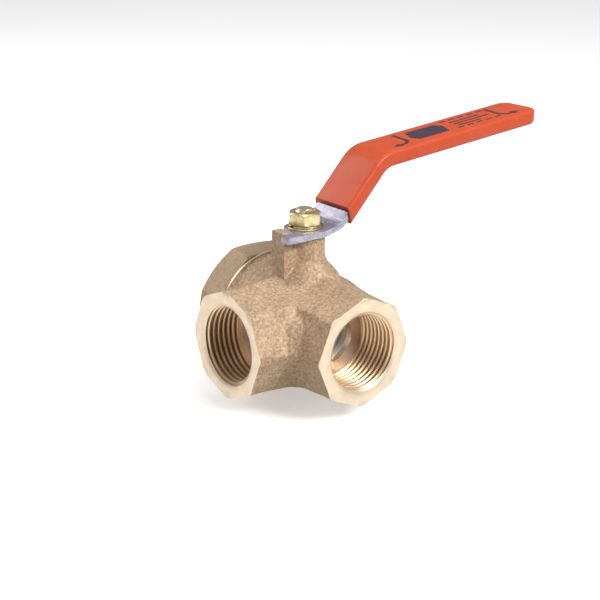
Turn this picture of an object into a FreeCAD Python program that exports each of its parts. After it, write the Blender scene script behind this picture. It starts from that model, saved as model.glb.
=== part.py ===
import FreeCAD, Part
import math
import os

# Three way ball valve, 25 mm (1 inch) size, with an L shaped way through the ball.
# Lengths are in millimetres. The parts are built about the centre of the ball, where the
# three port axes and the stem axis meet. The outlet frame then has its origin at the centre
# of the branch port's face: +X along the run port, -Y out of the branch port, +Z up the stem.

V = FreeCAD.Vector
X_AXIS = V(1, 0, 0)
Y_AXIS = V(0, 1, 0)
Z_AXIS = V(0, 0, 1)
CENTRE = V(0, 0, 0)

# ports
PORT_TO_CENTRE = 38.0
PORT_R = 22.5
PORT_CORNER_R = 22.2
PORT_CORNER_DEPTH = 1.2
THREAD_MINOR_R = 15.15
THREAD_DEPTH = 19.0
BRANCH_THREAD_DEPTH = 17.5
MOUTH_CHAMFER = 0.45
WATERWAY_R = 9.5

# body casting
BARREL_R = 25.6
BARREL_END = 13.5
BELLY = ((0.0, 25.6), (5.0, 24.3), (10.0, 22.6), (14.0, 20.8))
RUN_TAPER = ((-2.0, 26.0), (8.0, 25.2), (14.0, 24.0), (22.0, 22.8), (31.0, 22.5))
BRANCH_TAPER = ((0.0, 24.2), (12.0, 23.9), (20.0, 23.2), (31.0, 22.5))
RIM_R = 27.6
RIM_X = -22.0
RIM_LENGTH = 5.0
WEB_DISTANCE = 30.3
WEB_HALF_HEIGHT = 14.5
WEB_RUN_END = 26.0
WEB_CAP_END = 19.5
WEB_BRANCH_END = -26.0
NECK_R = 8.2
NECK_TOP = 38.3
NECK_FILLET = 5.0
NECK_FOOT = 15.0
LUG_HALF_WIDTH = 4.0
LUG_INNER = 8.6
LUG_OUTER = 13.0
LUG_TOP = 41.5
LUG_ROUND = 1.2

# ball chamber
CHAMBER_R = 17.5
CHAMBER_END = 9.8
CAP_BORE_R = 20.3
CAP_BORE_END = -12.0
BALL_R = 16.0
BALL_BORE_R = 9.0
SLOT_HALF_LENGTH = 6.6
SLOT_HALF_WIDTH = 2.55
SLOT_FLOOR = 12.9

# seats and cap seal
SEAT_INNER_R = 9.3
SEAT_OUTER_R = 14.0
SEAT_FRONT = 9.85
SEAT_BACK = 15.6
SEAT_CLEARANCE = 0.06
POCKET_R = 14.05
POCKET_BACK = 15.65
GASKET_INNER_R = 17.6
GASKET_OUTER_R = 20.2
GASKET_THICKNESS = 1.0

# end cap
CAP_FACE_GAP = 0.3
CAP_ACROSS_CORNERS_R = 28.0
CAP_NEAR_R = 27.2
CAP_NEAR_CHAMFER = 1.0
CAP_FAR_R = 24.4
CAP_FAR_CHAMFER = 3.2
CAP_ROOM_R = 28.4
CAP_THREAD_R = 20.25
CAP_RELIEF_R = 19.3
CAP_RELIEF_LENGTH = 1.8
CAP_SHOULDER = -13.05
CAP_NOSE_R = 17.35

# stem and packing
STEM_R = 4.05
STEM_FLANGE_R = 6.5
STEM_FLANGE_BOTTOM = 17.3
STEM_FLANGE_TOP = 19.9
STEM_SHOULDER = 39.0
STEM_TOP_R = 4.0
STEM_FLAT = 3.0
STEM_TOP = 49.4
STEM_END_CHAMFER = 0.8
TONGUE_HALF_LENGTH = 5.6
TONGUE_HALF_WIDTH = 2.25
TONGUE_BOTTOM = 13.2
STEM_POCKET_R = 6.8
STEM_POCKET_TOP = 21.0
NECK_BORE_R = 4.1
THRUST_WASHER_BOTTOM = 20.0
PACKING_BORE_R = 6.2
PACKING_BOTTOM = 26.0
PACKING_OUTER_R = 6.15
PACKING_INNER_R = 4.1
PACKING_PITCH = 2.2
PACKING_VEE = 0.6
PACKING_COUNT = 3
PACKING_NAMES = ("packing_ring_lower", "packing_ring_middle", "packing_ring_upper")
GLAND_BUSH_BOTTOM = 33.3
GLAND_BUSH_TOP = 35.2
GLAND_NUT_TOP = 38.1
GLAND_NUT_INNER_R = 4.5
GLAND_SLOT_HALF_WIDTH = 1.0
GLAND_SLOT_DEPTH = 1.1

# lever
LEVER_THICKNESS = 2.5
LEVER_BOTTOM = 39.0
LEVER_HALF_WIDTH = 9.6
LEVER_END = 118.5
LEVER_FIRST_BEND = (3.5, 40.25)
LEVER_SECOND_BEND = (11.2, 42.31)
LEVER_HIGH_BEND = (32.6, 65.7)
LEVER_FIRST_RADIUS = 12.0
LEVER_SECOND_RADIUS = 8.0
LEVER_HIGH_RADIUS = 12.0
GRIP_SLOPE = 0.095
HUB_R = 8.2
WING_END = -15.6
WING_CORNER = 2.2
STOP_GAP = 0.3
EAR_REACH = 12.6
EAR_END = 10.5
TIP_CORNER = 4.2

# vinyl sleeve
SLEEVE_THICKNESS = 6.2
SLEEVE_HALF_WIDTH = 10.8
SLEEVE_START = (12.0, 43.2)
SLEEVE_LIP_TOP = (13.9, 48.3)
SLEEVE_LIP_BOTTOM = (15.6, 42.4)
SLEEVE_END = 121.0
SLEEVE_TIP_CORNER = 5.5
SLEEVE_ROUND = 1.5

# lever fixings
WASHER_R = 7.1
WASHER_SEAT_GAP = 0.3
WASHER_TOP = 42.3
SPRING_WASHER_R = 6.4
SPRING_WASHER_TOP = 43.3
SPRING_WASHER_GAP = 1.2
NUT_ACROSS_FLATS = 12.0
NUT_TURN = -8.0
NUT_TOP = 48.1
NUT_CHAMFER = 0.9

# printed marks on the grip
MARK_HEIGHT = 0.1
MARK_LINE = 1.5
PANEL = ((-5.6, 57.0), (-5.6, 73.0), (-1.5, 75.0), (5.6, 72.0), (5.6, 56.0), (1.5, 54.0))
DASH_ROWS = (-6.4, 5.4)
DASH_START = 77.5
DASH_LENGTH = 3.2
DASH_STEP = 5.4
DASH_COUNT = 5
TEXT_BAR_ROWS = (-3.4, -0.6, 2.2)
TEXT_BAR_START = 80.0
TEXT_BAR_LENGTHS = (17.0, 20.0, 13.0)
TEXT_BAR_WIDTH = 0.9
ARROW_NEAR = ((-7.0, 51.5), (3.4, 50.4), (6.0, 47.6), (6.0, 44.6))
ARROW_FAR = ((-7.0, 104.8), (3.4, 103.6), (6.0, 106.2), (6.0, 109.0))
ARROW_HEAD = 3.6


def cylinder_x(radius, x0, x1):
    """A cylinder along X between two stations."""
    return Part.makeCylinder(radius, x1 - x0, V(x0, 0, 0), X_AXIS)


def cylinder_z(radius, z0, z1):
    """A cylinder up the stem axis."""
    return Part.makeCylinder(radius, z1 - z0, V(0, 0, z0), Z_AXIS)


def ring_z(inner, outer, z0, z1):
    """A flat ring round the stem axis."""
    return cylinder_z(outer, z0, z1).cut(cylinder_z(inner, z0 - 1, z1 + 1))


def box(x0, x1, y0, y1, z0, z1):
    """A block between two corners."""
    return Part.makeBox(x1 - x0, y1 - y0, z1 - z0, V(x0, y0, z0))


def turned_x(profile):
    """A solid turned about X from (x, r) points."""
    points = [V(x, r, 0) for x, r in profile]
    points.append(points[0])
    return Part.Face(Part.makePolygon(points)).revolve(CENTRE, X_AXIS, 360)


def turned_z(profile):
    """A solid turned about Z from (r, z) points."""
    points = [V(r, 0, z) for r, z in profile]
    points.append(points[0])
    return Part.Face(Part.makePolygon(points)).revolve(CENTRE, Z_AXIS, 360)


def octagon_x(radius, first_angle, x0, x1):
    """An eight sided prism along X with its first corner at the given angle."""
    corners = []
    for k in range(9):
        a = math.radians(first_angle + 45 * k)
        corners.append(V(x0, radius * math.cos(a), radius * math.sin(a)))
    return Part.Face(Part.makePolygon(corners)).extrude(V(x1 - x0, 0, 0))


def prism_z(corners, z0, z1):
    """A straight prism standing on a plan outline of (x, y) points."""
    points = [V(x, y, z0) for x, y in corners]
    points.append(points[0])
    return Part.Face(Part.makePolygon(points)).extrude(V(0, 0, z1 - z0))


def to_branch(shape):
    """Turns a shape built along +X to point along -Y."""
    turned = shape.copy()
    turned.rotate(CENTRE, Z_AXIS, -90)
    return turned


def edges_near(shape, test):
    """The edges whose centre passes a test."""
    return [e for e in shape.Edges if test(e.CenterOfMass, e)]


def round_edges(shape, radius, edges):
    """Rounds the given edges and keeps one clean solid."""
    return shape.makeFillet(radius, edges)


def port_arm():
    """The eight sided arm of a port, a corner up, with the turned chamfer on its rim."""
    arm = octagon_x(PORT_R, 90, 0, PORT_TO_CENTRE)
    rim = turned_x((
        (-1, 0),
        (-1, PORT_R + 1),
        (PORT_TO_CENTRE - PORT_CORNER_DEPTH, PORT_R + 0.1),
        (PORT_TO_CENTRE, PORT_CORNER_R - 0.9),
        (PORT_TO_CENTRE, 0),
    ))
    return arm.common(rim)


def octagon_taper(stations):
    """An eight sided form along +X, a corner up, through (distance, corner radius) stations."""
    outlines = []
    for distance, radius in stations:
        slab = octagon_x(radius, 90, distance, distance + 1)
        ends = [f for f in slab.Faces if abs(f.CenterOfMass.x - distance) < 1e-6]
        outlines.append(ends[0].OuterWire)
    return Part.makeLoft(outlines, True, True)


def barrel():
    """The round barrel of the run: rim at the cap end, rounded belly towards the run port."""
    rim_end = RIM_X + RIM_LENGTH
    return turned_x((
        (RIM_X, 0),
        (RIM_X, RIM_R - 0.6),
        (RIM_X + 0.6, RIM_R),
        (rim_end, RIM_R),
        (rim_end + 2.5, BARREL_R),
        *BELLY,
        (BELLY[-1][0], 0),
    ))


def branch_shoulder():
    """The shoulder where the branch arm leaves the barrel, kept clear of the end cap."""
    taper = to_branch(octagon_taper(BRANCH_TAPER))
    return taper.common(box(-WEB_CAP_END, BARREL_R, -PORT_TO_CENTRE, 1, -BARREL_R, BARREL_R))


def web(side):
    """The web of metal that fills the corner between the branch and one side of the run."""
    reach = WEB_DISTANCE * math.sqrt(2)
    end = WEB_RUN_END if side > 0 else WEB_CAP_END
    corners = (
        (0, 0),
        (end, 0),
        (end, end - reach),
        (reach + WEB_BRANCH_END, WEB_BRANCH_END),
        (0, WEB_BRANCH_END),
    )
    block = prism_z([(side * x, y) for x, y in corners], -21, 21)
    cone = turned_z((
        (0, -21),
        (20, -21),
        (WEB_DISTANCE + 4, -WEB_HALF_HEIGHT + 3),
        (WEB_DISTANCE + 4, WEB_HALF_HEIGHT - 3),
        (20, 21),
        (0, 21),
    ))
    return block.common(cone)


def stop_lug():
    """The stop lug that stands on the branch side of the neck."""
    lug = box(-LUG_HALF_WIDTH, LUG_HALF_WIDTH, -LUG_OUTER, -LUG_INNER, NECK_TOP - 4, LUG_TOP)
    outer_edges = edges_near(lug, lambda c, e: c.z > LUG_TOP - 0.01 and c.y < -LUG_INNER - 0.1)
    lug = round_edges(lug, LUG_ROUND, outer_edges)
    root = box(-LUG_HALF_WIDTH, LUG_HALF_WIDTH, -LUG_OUTER, 0, 18, NECK_TOP - 3.9)
    cap = box(-LUG_HALF_WIDTH, LUG_HALF_WIDTH, -LUG_OUTER + 1.5, 0, NECK_TOP - 4, NECK_TOP)
    return lug.fuse([root, cap])


def neck():
    """The neck rising from the top of the barrel, rounded into it."""
    saddle = cylinder_x(BARREL_R, RIM_X + RIM_LENGTH, BARREL_END)
    stock = saddle.fuse(cylinder_z(NECK_R, 0, NECK_TOP))
    joint = edges_near(
        stock,
        lambda c, e: 20 < c.z < 27 and abs(c.x) < 9 and abs(c.y) < 9 and e.BoundBox.XLength < 20,
    )
    rounded = round_edges(stock, NECK_FILLET, joint)
    reach = BARREL_END
    return rounded.common(box(-reach, reach, -reach, reach, NECK_FOOT, NECK_TOP + 1))


def port_bore(depth):
    """The cut of one threaded port: chamfered mouth and straight wall."""
    inner = PORT_TO_CENTRE - depth
    wall = cylinder_x(THREAD_MINOR_R, inner, PORT_TO_CENTRE + 1)
    mouth = turned_x((
        (PORT_TO_CENTRE - MOUTH_CHAMFER, 0),
        (PORT_TO_CENTRE - MOUTH_CHAMFER, THREAD_MINOR_R),
        (PORT_TO_CENTRE + 1, THREAD_MINOR_R + MOUTH_CHAMFER + 1),
        (PORT_TO_CENTRE + 1, 0),
    ))
    return wall.fuse(mouth)


def body_cuts():
    """Every hollow of the body casting, and the room for the end cap."""
    return [
        port_bore(THREAD_DEPTH),
        to_branch(port_bore(BRANCH_THREAD_DEPTH)),
        cylinder_x(WATERWAY_R, 0, PORT_TO_CENTRE),
        to_branch(cylinder_x(WATERWAY_R, 0, PORT_TO_CENTRE)),
        cylinder_x(CHAMBER_R, RIM_X - 1, CHAMBER_END),
        cylinder_x(CAP_BORE_R, RIM_X - 1, CAP_BORE_END),
        cylinder_x(POCKET_R, CHAMBER_END - 1, POCKET_BACK),
        cylinder_z(STEM_POCKET_R, 10, STEM_POCKET_TOP),
        cylinder_z(NECK_BORE_R, 10, NECK_TOP + 1),
        cylinder_z(PACKING_BORE_R, PACKING_BOTTOM, NECK_TOP + 1),
        cylinder_x(CAP_ROOM_R, -PORT_TO_CENTRE - 1, RIM_X),
    ]


def body_casting():
    """The cast T: two eight sided ports, the barrel for the cap, the neck and the stop lug."""
    stock = barrel().fuse([
        octagon_taper(RUN_TAPER), port_arm(), to_branch(port_arm()), branch_shoulder(),
        web(1), web(-1), neck(),
    ])
    stock = stock.fuse(stop_lug())
    return stock.cut(body_cuts())


def cap_outside():
    """The eight sided head of the cap with its turned chamfers, a flat up."""
    near = RIM_X - CAP_FACE_GAP
    head = octagon_x(CAP_ACROSS_CORNERS_R, 22.5, -PORT_TO_CENTRE, near)
    turned = turned_x((
        (-PORT_TO_CENTRE, 0),
        (-PORT_TO_CENTRE, CAP_FAR_R),
        (-PORT_TO_CENTRE + CAP_FAR_CHAMFER, CAP_ACROSS_CORNERS_R + 0.05),
        (near - CAP_NEAR_CHAMFER, CAP_ACROSS_CORNERS_R + 0.05),
        (near, CAP_NEAR_R),
        (near, 0),
    ))
    return head.common(turned)


def end_cap():
    """The screwed end cap, which holds the second run port and presses on its seat."""
    near = RIM_X - CAP_FACE_GAP
    shape = cap_outside().fuse([
        cylinder_x(CAP_RELIEF_R, near - 1, near + CAP_RELIEF_LENGTH),
        cylinder_x(CAP_THREAD_R, near + CAP_RELIEF_LENGTH, CAP_SHOULDER),
        cylinder_x(CAP_NOSE_R, CAP_SHOULDER - 1, -CHAMBER_END),
    ]).removeSplitter()
    bore = port_bore(THREAD_DEPTH)
    bore.rotate(CENTRE, Z_AXIS, 180)
    return shape.cut([
        bore,
        cylinder_x(WATERWAY_R, -PORT_TO_CENTRE, 0),
        cylinder_x(POCKET_R, -POCKET_BACK, 0),
    ])


def cap_gasket():
    """The flat seal ring between the cap's shoulder and the body's step."""
    x1 = CAP_BORE_END - 0.02
    ring = cylinder_x(GASKET_OUTER_R, x1 - GASKET_THICKNESS, x1)
    return ring.cut(cylinder_x(GASKET_INNER_R, -30, 0))


def ball_seat(side):
    """A seat ring with its hollow face against the ball."""
    ring = cylinder_x(SEAT_OUTER_R, SEAT_FRONT, SEAT_BACK).cut(cylinder_x(SEAT_INNER_R, 0, 30))
    ring = ring.cut(Part.makeSphere(BALL_R + SEAT_CLEARANCE))
    if side < 0:
        ring.rotate(CENTRE, Z_AXIS, 180)
    return ring


def ball():
    """The ball with its L shaped way, open to the cap and to the branch, and the stem slot."""
    shape = Part.makeSphere(BALL_R)
    way = cylinder_x(BALL_BORE_R, -BALL_R - 1, 0)
    branch = to_branch(cylinder_x(BALL_BORE_R, 0, BALL_R + 1))
    slot = box(
        -SLOT_HALF_LENGTH, SLOT_HALF_LENGTH, -SLOT_HALF_WIDTH, SLOT_HALF_WIDTH,
        SLOT_FLOOR, BALL_R + 1,
    )
    return shape.cut([way, branch, Part.makeSphere(BALL_BORE_R), slot])


def stem_top():
    """The upper end of the stem: two flats for the lever, chamfered tip."""
    post = turned_z((
        (0, STEM_SHOULDER),
        (STEM_TOP_R, STEM_SHOULDER),
        (STEM_TOP_R, STEM_TOP - STEM_END_CHAMFER),
        (STEM_TOP_R - STEM_END_CHAMFER, STEM_TOP),
        (0, STEM_TOP),
    ))
    flats = box(-STEM_FLAT, STEM_FLAT, -6, 6, STEM_SHOULDER, STEM_TOP)
    return post.common(flats)


def stem():
    """The stem: tongue for the ball's slot, thrust flange, shank and flatted top."""
    tongue = box(
        -TONGUE_HALF_LENGTH, TONGUE_HALF_LENGTH, -TONGUE_HALF_WIDTH, TONGUE_HALF_WIDTH,
        TONGUE_BOTTOM, STEM_FLANGE_BOTTOM + 0.5,
    )
    flange = cylinder_z(STEM_FLANGE_R, STEM_FLANGE_BOTTOM, STEM_FLANGE_TOP)
    shank = cylinder_z(STEM_R, STEM_FLANGE_BOTTOM, STEM_SHOULDER)
    return shank.fuse([flange, tongue, stem_top()]).removeSplitter()


def packing_ring(k):
    """One V shaped packing ring of the set in the neck."""
    z0 = PACKING_BOTTOM + 0.05 + k * PACKING_PITCH
    z1 = z0 + PACKING_PITCH - 0.02
    middle = (PACKING_INNER_R + PACKING_OUTER_R) / 2
    return turned_z((
        (PACKING_INNER_R, z0),
        (middle, z0 + PACKING_VEE),
        (PACKING_OUTER_R, z0),
        (PACKING_OUTER_R, z1),
        (middle, z1 + PACKING_VEE),
        (PACKING_INNER_R, z1),
    ))


def gland_nut():
    """The slotted gland nut screwed into the top of the neck."""
    ring = ring_z(GLAND_NUT_INNER_R, PACKING_OUTER_R, GLAND_BUSH_TOP + 0.02, GLAND_NUT_TOP)
    slot = box(
        -10, 10, -GLAND_SLOT_HALF_WIDTH, GLAND_SLOT_HALF_WIDTH,
        GLAND_NUT_TOP - GLAND_SLOT_DEPTH, GLAND_NUT_TOP + 1,
    )
    return ring.cut(slot)


def bend(corner, before, after, radius, offset):
    """The arc that rounds one corner of the lever's side view, moved sideways by offset."""
    u = (corner - before).normalize()
    w = (after - corner).normalize()
    turn = math.atan2(u.y * w.z - u.z * w.y, u.dot(w))
    reach = radius * math.tan(abs(turn) / 2)
    sign = math.copysign(1, turn)
    start = corner - u * reach
    normal = V(0, -u.z, u.y)
    centre = start + normal * (sign * radius)
    arm = -normal * (sign * radius) + normal * offset
    points = []
    for share in (0, 0.5, 1):
        a = turn * share
        points.append(centre + V(
            0,
            arm.y * math.cos(a) - arm.z * math.sin(a),
            arm.y * math.sin(a) + arm.z * math.cos(a),
        ))
    return points


def side_curve(path, radii, offset):
    """One edge of the lever's side view: straights joined by arcs, as a list of edges."""
    arcs = []
    for k in range(1, len(path) - 1):
        arcs.append(bend(path[k], path[k - 1], path[k + 1], radii[k - 1], offset))
    first = (path[1] - path[0]).normalize()
    last = (path[-1] - path[-2]).normalize()
    start = path[0] + V(0, -first.z, first.y) * offset
    end = path[-1] + V(0, -last.z, last.y) * offset
    edges = []
    here = start
    for arc in arcs:
        edges.append(Part.makeLine(here, arc[0]))
        edges.append(Part.Arc(arc[0], arc[1], arc[2]).toShape())
        here = arc[2]
    edges.append(Part.makeLine(here, end))
    return edges, start, end


def bent_strip(path, radii, thickness, half_width):
    """A bent strip of even thickness, straight across its width."""
    lower, low_start, low_end = side_curve(path, radii, -thickness / 2)
    upper, high_start, high_end = side_curve(path, radii, thickness / 2)
    ends = [Part.makeLine(low_end, high_end), Part.makeLine(high_start, low_start)]
    outline = Part.Wire(Part.__sortEdges__(lower + upper + ends))
    face = Part.Face(outline)
    face.translate(V(-half_width, 0, 0))
    return face.extrude(V(2 * half_width, 0, 0))


def grip_height(y):
    """Height of the grip's middle plane at a distance from the stem."""
    y0, z0 = LEVER_HIGH_BEND
    return z0 + GRIP_SLOPE * (y - y0)


def lever_path(start, end):
    """Middle line of the lever in side view, from a start point to the tip."""
    points = [start]
    if start[0] < LEVER_FIRST_BEND[0]:
        points += [LEVER_FIRST_BEND, LEVER_SECOND_BEND]
    points.append(LEVER_HIGH_BEND)
    points.append((end, grip_height(end)))
    return [V(0, y, z) for y, z in points]


def rounded_tip(half_width, end, corner):
    """Plan outline of a strip that runs to a tip with rounded corners."""
    points = [(half_width, 8), (-half_width, 8)]
    for side in (-1, 1):
        for step in range(7):
            a = math.radians(15 * step if side < 0 else 90 - 15 * step)
            x = half_width - corner + corner * math.cos(a)
            y = end - corner + corner * math.sin(a)
            points.append((side * x, y))
    return points


def hub_plan():
    """Plan of the lever's hub: round at the stem, with the wing and the ear that meet the lug."""
    stop = LUG_HALF_WIDTH + STOP_GAP
    wing = prism_z((
        (0, 8),
        (0, 0),
        (stop, 0),
        (stop, WING_END + 1.2),
        (stop + 1.2, WING_END),
        (LEVER_HALF_WIDTH - WING_CORNER, WING_END),
        (LEVER_HALF_WIDTH - 0.65, WING_END + 0.65),
        (LEVER_HALF_WIDTH, WING_END + WING_CORNER),
        (LEVER_HALF_WIDTH, 8.1),
        (0, 8.1),
    ), 30, 90)
    ear = prism_z((
        (0, stop),
        (-EAR_REACH + 0.8, stop),
        (-EAR_REACH, stop + 0.8),
        (-EAR_REACH, EAR_END - 2),
        (-LEVER_HALF_WIDTH, EAR_END + 2),
        (0, EAR_END + 2),
    ), 30, 90)
    return cylinder_z(HUB_R, 30, 90).fuse([wing, ear])


def lever():
    """The dog-leg lever, pressed from plate, with its washer seat and the stem's hole."""
    middle = LEVER_BOTTOM + LEVER_THICKNESS / 2
    path = lever_path((-20.0, middle), LEVER_END)
    radii = (LEVER_FIRST_RADIUS, LEVER_SECOND_RADIUS, LEVER_HIGH_RADIUS)
    strip = bent_strip(path, radii, LEVER_THICKNESS, 20)
    blade = prism_z(rounded_tip(LEVER_HALF_WIDTH, LEVER_END - 0.3, TIP_CORNER), 30, 90)
    shape = strip.common(blade.fuse(hub_plan()).removeSplitter())
    hole = cylinder_z(STEM_TOP_R + 0.05, 30, 45)
    hole = hole.common(box(-STEM_FLAT - 0.05, STEM_FLAT + 0.05, -6, 6, 30, 45))
    seat = cylinder_z(WASHER_R + WASHER_SEAT_GAP, LEVER_BOTTOM + LEVER_THICKNESS, 50)
    return shape.cut([hole, seat])


def beyond_lip():
    """The half space before the sleeve's slanted lip."""
    (y0, z0), (y1, z1) = SLEEVE_LIP_TOP, SLEEVE_LIP_BOTTOM
    along = V(0, y1 - y0, z1 - z0).normalize()
    back = V(0, along.z, -along.y) * 20
    top = V(-20, y0, z0) - along * 20
    bottom = V(-20, y1, z1) + along * 20
    face = Part.Face(Part.makePolygon([top, bottom, bottom + back, top + back, top]))
    return face.extrude(V(40, 0, 0))


def sleeve_outside():
    """The rounded outside of the vinyl sleeve."""
    path = lever_path(SLEEVE_START, SLEEVE_END)
    strip = bent_strip(path, (LEVER_HIGH_RADIUS,), SLEEVE_THICKNESS, SLEEVE_HALF_WIDTH)
    plan = prism_z(rounded_tip(SLEEVE_HALF_WIDTH, SLEEVE_END - 0.5, SLEEVE_TIP_CORNER), 30, 90)
    strip = strip.common(plan)
    sides = edges_near(strip, lambda c, e: long_side_edge(c, e))
    return round_edges(strip, SLEEVE_ROUND, sides)


def long_side_edge(centre, edge):
    """True for the edges that run along both sides of the sleeve, before its tip."""
    on_side = abs(abs(centre.x) - SLEEVE_HALF_WIDTH) < 0.01
    runs_along = edge.BoundBox.XLength < 0.01
    short_end = edge.Length < SLEEVE_THICKNESS + 0.6
    return on_side and runs_along and not short_end


def vinyl_sleeve():
    """The dipped sleeve over the lever's riser and grip, hollow where the lever runs."""
    return sleeve_outside().cut([lever(), beyond_lip()])


def flat_washer():
    """The flat washer under the spring washer."""
    return ring_z(STEM_TOP_R + 0.1, WASHER_R, LEVER_BOTTOM + LEVER_THICKNESS, WASHER_TOP)


def spring_washer():
    """The split spring washer under the nut."""
    ring = ring_z(STEM_TOP_R + 0.1, SPRING_WASHER_R, WASHER_TOP, SPRING_WASHER_TOP)
    half = SPRING_WASHER_GAP / 2
    return ring.cut(box(-half, half, -10, 0, WASHER_TOP - 1, SPRING_WASHER_TOP + 1))


def lever_nut():
    """The hexagon nut that holds the lever, chamfered on top."""
    corner_r = NUT_ACROSS_FLATS / math.sqrt(3)
    corners = []
    for k in range(6):
        a = math.radians(60 * k + NUT_TURN)
        corners.append((corner_r * math.cos(a), corner_r * math.sin(a)))
    nut = prism_z(corners, SPRING_WASHER_TOP, NUT_TOP)
    crown = turned_z((
        (STEM_TOP_R + 0.03, SPRING_WASHER_TOP),
        (corner_r + 0.1, SPRING_WASHER_TOP),
        (corner_r + 0.1, NUT_TOP - NUT_CHAMFER),
        (corner_r - 1.3, NUT_TOP),
        (STEM_TOP_R + 0.03, NUT_TOP),
    ))
    return nut.common(crown)


def on_grip(shape):
    """Lays a flat mark, drawn in plan at height zero, on the sloping top of the grip."""
    angle = math.degrees(math.atan(GRIP_SLOPE))
    top = grip_height(0) + SLEEVE_THICKNESS / 2 / math.cos(math.radians(angle))
    laid = shape.copy()
    laid.rotate(CENTRE, X_AXIS, angle)
    laid.translate(V(0, 0, top))
    return laid


def line_mark(points):
    """A printed line of even width along a run of points."""
    pieces = []
    half = MARK_LINE / 2
    for (x0, y0), (x1, y1) in zip(points, points[1:]):
        length = math.hypot(x1 - x0, y1 - y0)
        bar = box(0, length, -half, half, 0, MARK_HEIGHT)
        bar.rotate(CENTRE, Z_AXIS, math.degrees(math.atan2(y1 - y0, x1 - x0)))
        bar.translate(V(x0, y0, 0))
        pieces.append(bar)
    for x, y in points[1:-1]:
        pieces.append(Part.makeCylinder(half, MARK_HEIGHT, V(x, y, 0), Z_AXIS))
    return pieces


def turning_arrow(points):
    """A turning arrow: a bent line that ends in a head."""
    (x0, y0), (x1, y1) = points[-2:]
    way = math.copysign(1, y1 - y0)
    head = prism_z((
        (x1 - ARROW_HEAD / 2, y1),
        (x1 + ARROW_HEAD / 2, y1),
        (x1, y1 + way * ARROW_HEAD),
    ), 0, MARK_HEIGHT)
    pieces = line_mark(points) + [head]
    return on_grip(pieces[0].fuse(pieces[1:]).removeSplitter())


def label_panel():
    """The long plain panel printed on the grip."""
    return on_grip(prism_z(PANEL, 0, MARK_HEIGHT))


def dashed_frame():
    """Two dashed lines with plain bars between them, as one printed field."""
    pieces = []
    for row in DASH_ROWS:
        for k in range(DASH_COUNT):
            y = DASH_START + k * DASH_STEP
            pieces.append(box(row - 0.45, row + 0.45, y, y + DASH_LENGTH, 0, MARK_HEIGHT))
    for row, length in zip(TEXT_BAR_ROWS, TEXT_BAR_LENGTHS):
        pieces.append(box(
            row, row + TEXT_BAR_WIDTH, TEXT_BAR_START, TEXT_BAR_START + length, 0, MARK_HEIGHT,
        ))
    return on_grip(Part.makeCompound(pieces))


def parts():
    """Every node of the valve with its shape."""
    shapes = {
        "body_casting": body_casting(),
        "end_cap": end_cap(),
        "cap_gasket": cap_gasket(),
        "ball": ball(),
        "ball_seat_run_side": ball_seat(1),
        "ball_seat_cap_side": ball_seat(-1),
        "stem": stem(),
        "stem_thrust_washer": ring_z(
            NECK_BORE_R, STEM_POCKET_R - 0.05, THRUST_WASHER_BOTTOM, STEM_POCKET_TOP - 0.02,
        ),
        "gland_bush": ring_z(
            PACKING_INNER_R, PACKING_OUTER_R, GLAND_BUSH_BOTTOM, GLAND_BUSH_TOP,
        ),
        "gland_nut": gland_nut(),
        "lever": lever(),
        "vinyl_sleeve": vinyl_sleeve(),
        "flat_washer": flat_washer(),
        "spring_washer": spring_washer(),
        "lever_nut": lever_nut(),
        "grip_mark_near_arrow": turning_arrow(ARROW_NEAR),
        "grip_mark_far_arrow": turning_arrow(ARROW_FAR),
        "grip_mark_panel": label_panel(),
        "grip_mark_dashes": dashed_frame(),
    }
    for k in range(PACKING_COUNT):
        shapes[PACKING_NAMES[k]] = packing_ring(k)
    return shapes


def write_parts():
    """Moves every shape so the branch port's face centre is the origin, and writes its file."""
    os.makedirs("parts", exist_ok=True)
    for name, shape in parts().items():
        if len(shape.Solids) == 1:
            shape = shape.Solids[0].copy()
        shape.translate(V(0, PORT_TO_CENTRE, 0))
        shape.exportStep("parts/" + name + ".step")
        print(name, shape.ShapeType, len(shape.Solids), round(shape.Volume, 1), shape.isValid())


write_parts()
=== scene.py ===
import bpy
import math
from mathutils import Matrix, Vector


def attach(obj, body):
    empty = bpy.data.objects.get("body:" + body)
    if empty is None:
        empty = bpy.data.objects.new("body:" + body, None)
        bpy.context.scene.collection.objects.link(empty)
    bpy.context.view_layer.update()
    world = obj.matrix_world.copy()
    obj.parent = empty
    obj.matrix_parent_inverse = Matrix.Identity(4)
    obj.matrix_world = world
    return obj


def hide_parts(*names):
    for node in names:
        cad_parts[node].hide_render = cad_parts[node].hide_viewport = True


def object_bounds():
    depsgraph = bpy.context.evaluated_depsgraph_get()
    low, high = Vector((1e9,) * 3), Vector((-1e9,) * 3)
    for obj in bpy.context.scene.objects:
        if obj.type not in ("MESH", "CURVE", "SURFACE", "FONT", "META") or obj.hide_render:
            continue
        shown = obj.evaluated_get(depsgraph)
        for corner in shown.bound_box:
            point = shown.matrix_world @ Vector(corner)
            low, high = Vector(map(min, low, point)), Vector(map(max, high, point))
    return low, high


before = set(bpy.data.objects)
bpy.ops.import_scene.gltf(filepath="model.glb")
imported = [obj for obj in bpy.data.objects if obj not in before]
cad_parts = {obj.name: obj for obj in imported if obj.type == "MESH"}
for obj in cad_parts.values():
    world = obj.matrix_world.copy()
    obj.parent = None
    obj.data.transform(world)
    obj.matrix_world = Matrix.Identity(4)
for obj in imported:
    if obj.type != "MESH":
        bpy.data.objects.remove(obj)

# Three way ball valve, looks. Lengths in the tables are millimetres from the centre of the
# ball, where the port axes and the stem axis meet; MM turns them into metres, and CENTRE
# places them in the frame, whose origin is the middle of the branch port's face.

MM = 0.001
PORT_TO_CENTRE = 38.0
CENTRE = Vector((0, PORT_TO_CENTRE * MM, 0))
SIZE_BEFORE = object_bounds()

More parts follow.
